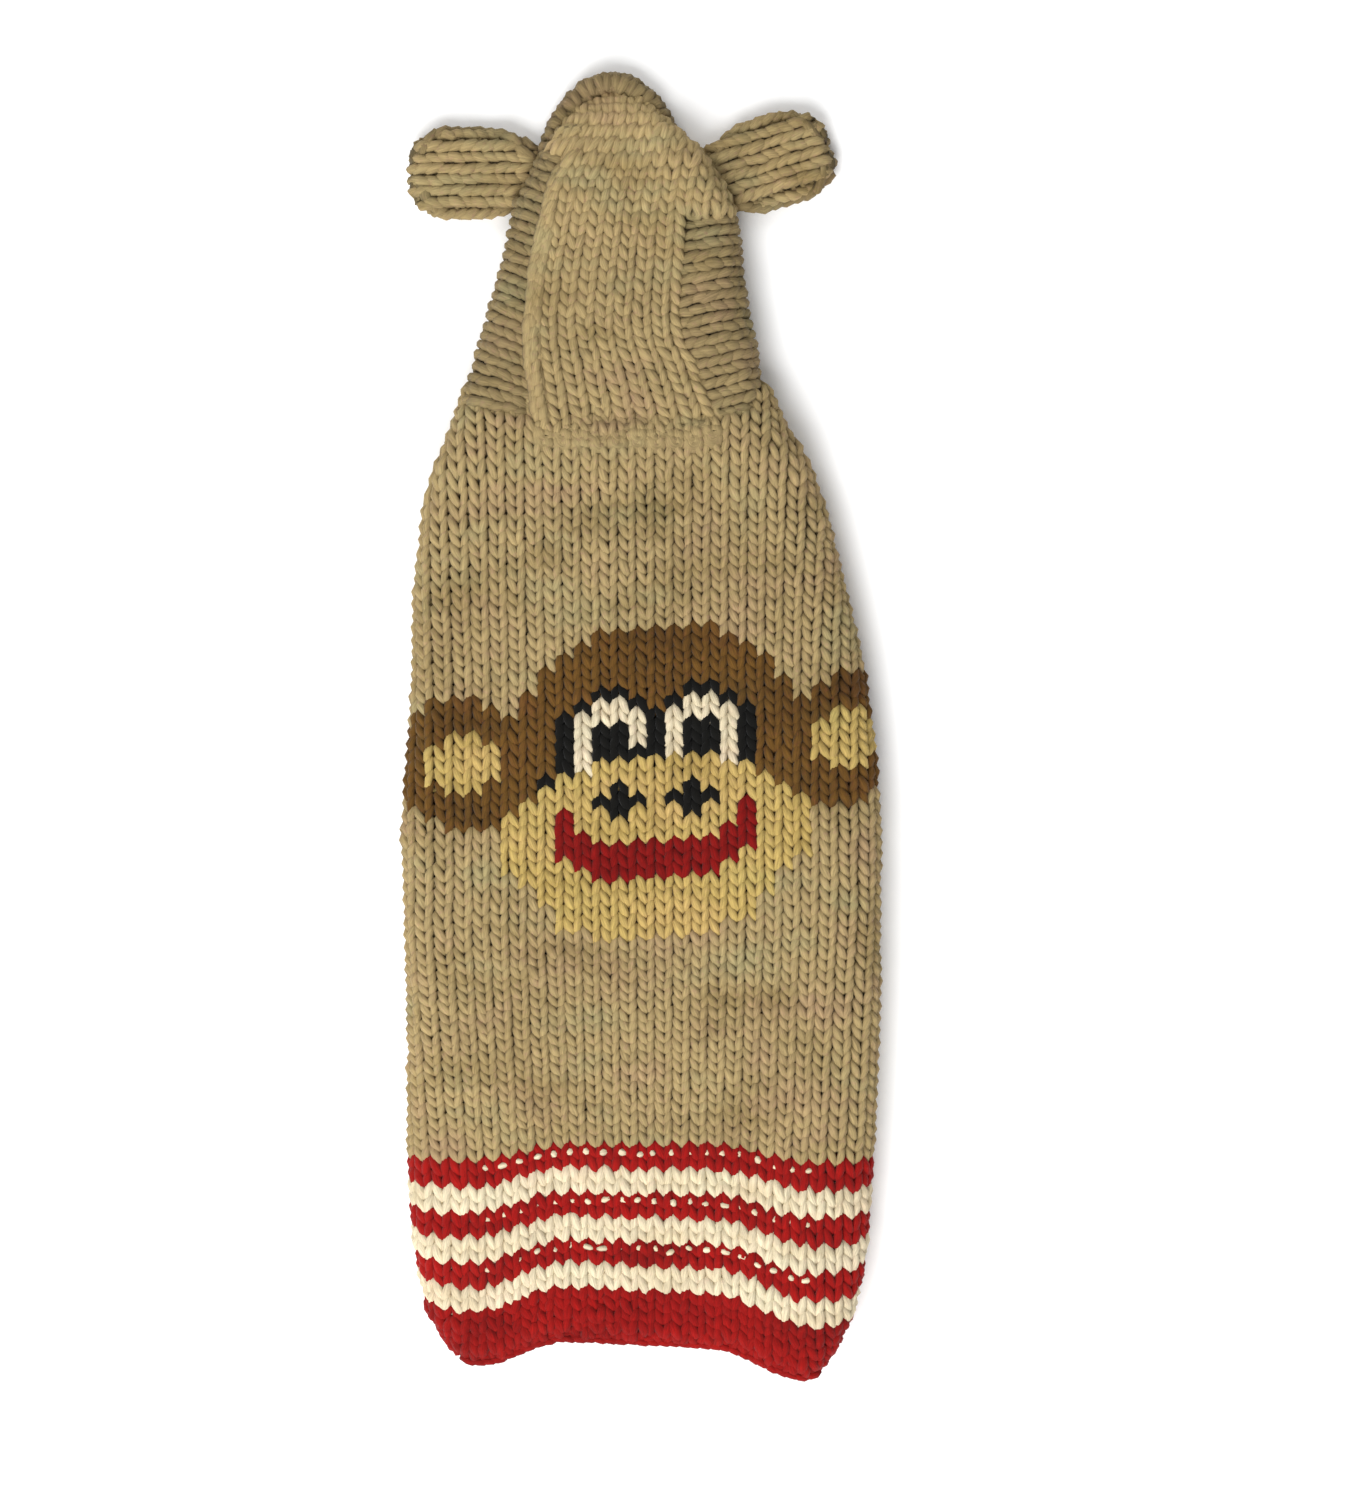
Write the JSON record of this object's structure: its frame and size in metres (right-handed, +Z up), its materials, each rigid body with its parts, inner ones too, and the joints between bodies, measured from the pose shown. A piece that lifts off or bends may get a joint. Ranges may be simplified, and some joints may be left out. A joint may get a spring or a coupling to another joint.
{
  "type": "knitted dog sweater",
  "caption": "Hand-knitted hooded dog sweater laid flat, back up, with an animal face knitted into the back, a striped tail hem, two leg holes and two soft ears on a folding hood.",
  "frame": {"origin": "middle of the face that the garment rests on, on the floor", "axes": "+X to the garment's right as seen from above with the hood away from the viewer, +Y from tail hem to hood, +Z up from the floor through the back"},
  "size_m": [0.2037, 0.5451, 0.03],
  "materials": {
    "oatmeal_wool": "hand-knitted bulky wool, matt and slightly fuzzy",
    "brown_wool": "hand-knitted bulky wool, matt and slightly fuzzy",
    "cream_wool": "hand-knitted bulky wool, matt and slightly fuzzy",
    "red_wool": "hand-knitted bulky wool, matt and slightly fuzzy",
    "white_wool": "hand-knitted bulky wool, matt and slightly fuzzy",
    "black_wool": "hand-knitted bulky wool, matt and slightly fuzzy"
  },
  "bodies": {
    "torso": {"back_panel": "oatmeal_wool", "head_patch": "brown_wool", "muzzle_patch": "cream_wool", "mouth_patch": "red_wool", "ear_patch_left": "cream_wool", "ear_patch_right": "cream_wool", "eye_outline_left": "black_wool", "eye_outline_right": "black_wool", "eye_bridge": "black_wool", "eye_white_left": "white_wool", "eye_white_right": "white_wool", "pupil_left": "black_wool", "pupil_right": "black_wool", "nostril_left": "black_wool", "nostril_right": "black_wool", "red_stripe_1": "red_wool", "white_stripe_1": "white_wool", "red_stripe_2": "red_wool", "white_stripe_2": "white_wool", "red_stripe_3": "red_wool", "white_stripe_3": "white_wool", "hem_band": "red_wool", "belly_panel": "oatmeal_wool", "belly_band": "red_wool", "leg_band_left": "oatmeal_wool", "leg_band_right": "oatmeal_wool", "side_seam_left": "oatmeal_wool", "side_seam_right": "oatmeal_wool", "neck_seam": "oatmeal_wool"},
    "hood": {"hood_centre_panel": "oatmeal_wool", "hood_side_left": "oatmeal_wool", "hood_side_right": "oatmeal_wool", "hood_seam_left": "oatmeal_wool", "hood_seam_right": "oatmeal_wool", "hood_edge_band": "oatmeal_wool", "ear_root_seam_left": "oatmeal_wool", "ear_root_seam_right": "oatmeal_wool"},
    "ear_left": {"ear_left_lining": "oatmeal_wool", "ear_left_outer": "oatmeal_wool"},
    "ear_right": {"ear_right_lining": "oatmeal_wool", "ear_right_outer": "oatmeal_wool"}
  },
  "joints": [
    {"name": "hood_fold", "type": "hinge", "parent": "torso", "child": "hood", "pos_m": [0, 0.1224, 0.031], "axis": [1, 0, 0], "range_deg": [0, 165]},
    {"name": "ear_left_swing", "type": "hinge", "parent": "hood", "child": "ear_left", "pos_m": [-0.05524, 0.23163, 0.006], "axis": [0.349, 0.9371, 0], "range_deg": [-35, 85]},
    {"name": "ear_right_swing", "type": "hinge", "parent": "hood", "child": "ear_right", "pos_m": [0.03572, 0.23265, 0.006], "axis": [0.4839, -0.8751, 0], "range_deg": [-35, 85]}
  ]
}
